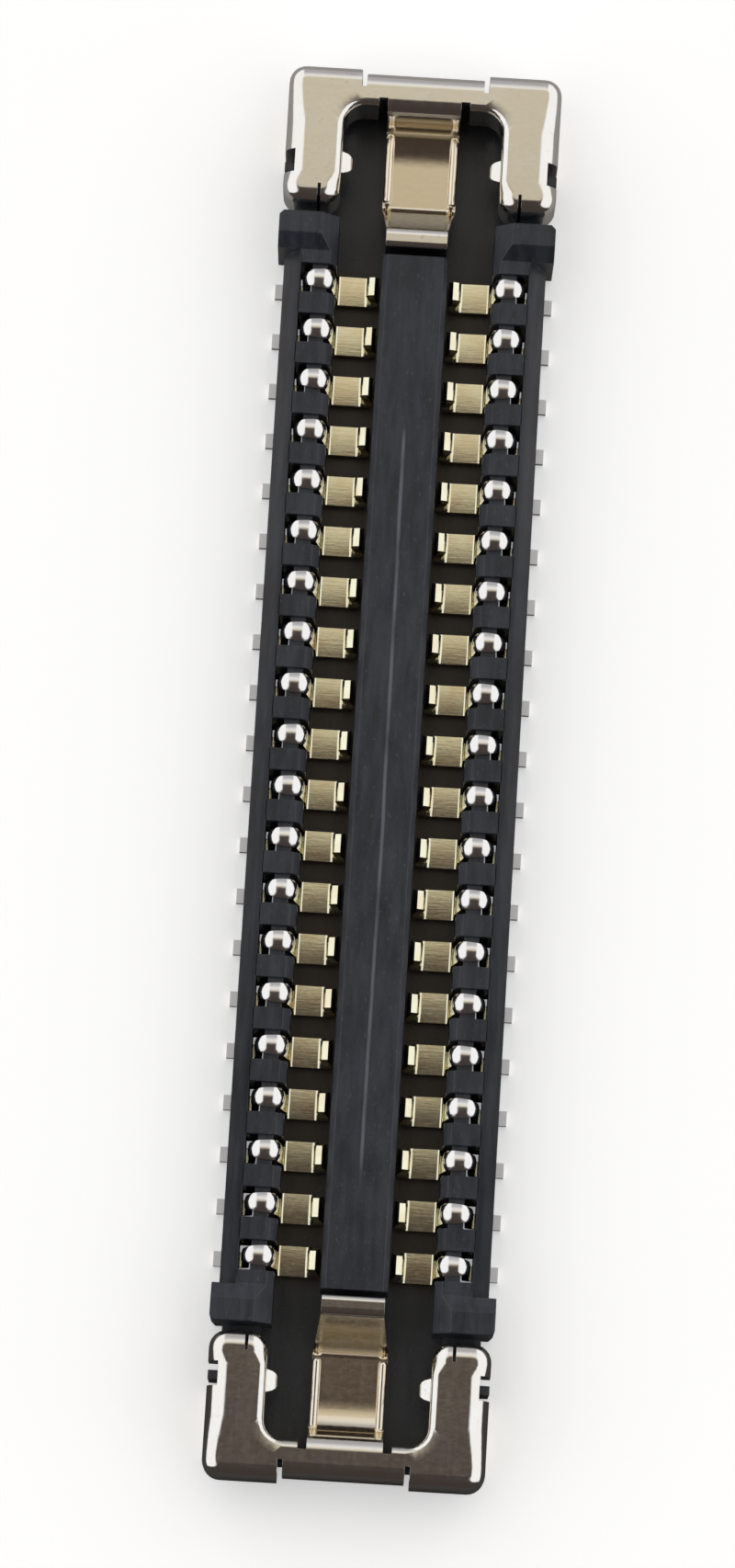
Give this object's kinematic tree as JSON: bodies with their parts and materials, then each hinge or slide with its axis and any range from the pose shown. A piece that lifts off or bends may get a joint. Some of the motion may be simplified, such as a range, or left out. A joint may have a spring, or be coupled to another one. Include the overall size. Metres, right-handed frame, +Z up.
{
  "type": "board connector receptacle",
  "caption": "Low-profile board-to-board socket: moulded strip with a moat round an island, spring contacts along both walls and a folded metal fitting at each end.",
  "frame": {"origin": "centre of the soldering plane, midway along and across the connector", "axes": "+X across the rows of contacts, +Y along the rows, +Z up towards the mating half"},
  "size_m": [0.002, 0.0096, 0.0006],
  "materials": {
    "housing_plastic": "moulded liquid-crystal polymer, faintly satin",
    "fitting_plating": "bright pale gold plating",
    "contact_plating": "bright gold plating, silvery over the bends"
  },
  "bodies": {
    "root": {"housing": "housing_plastic", "end_fitting_rear": "fitting_plating", "end_fitting_front": "fitting_plating", "contact_left_01": "contact_plating", "contact_left_02": "contact_plating", "contact_left_03": "contact_plating", "contact_left_04": "contact_plating", "contact_left_05": "contact_plating", "contact_left_06": "contact_plating", "contact_left_07": "contact_plating", "contact_left_08": "contact_plating", "contact_left_09": "contact_plating", "contact_left_10": "contact_plating", "contact_left_11": "contact_plating", "contact_left_12": "contact_plating", "contact_left_13": "contact_plating", "contact_left_14": "contact_plating", "contact_left_15": "contact_plating", "contact_left_16": "contact_plating", "contact_left_17": "contact_plating", "contact_left_18": "contact_plating", "contact_left_19": "contact_plating", "contact_left_20": "contact_plating", "contact_right_01": "contact_plating", "contact_right_02": "contact_plating", "contact_right_03": "contact_plating", "contact_right_04": "contact_plating", "contact_right_05": "contact_plating", "contact_right_06": "contact_plating", "contact_right_07": "contact_plating", "contact_right_08": "contact_plating", "contact_right_09": "contact_plating", "contact_right_10": "contact_plating", "contact_right_11": "contact_plating", "contact_right_12": "contact_plating", "contact_right_13": "contact_plating", "contact_right_14": "contact_plating", "contact_right_15": "contact_plating", "contact_right_16": "contact_plating", "contact_right_17": "contact_plating", "contact_right_18": "contact_plating", "contact_right_19": "contact_plating", "contact_right_20": "contact_plating"}
  },
  "joints": []
}
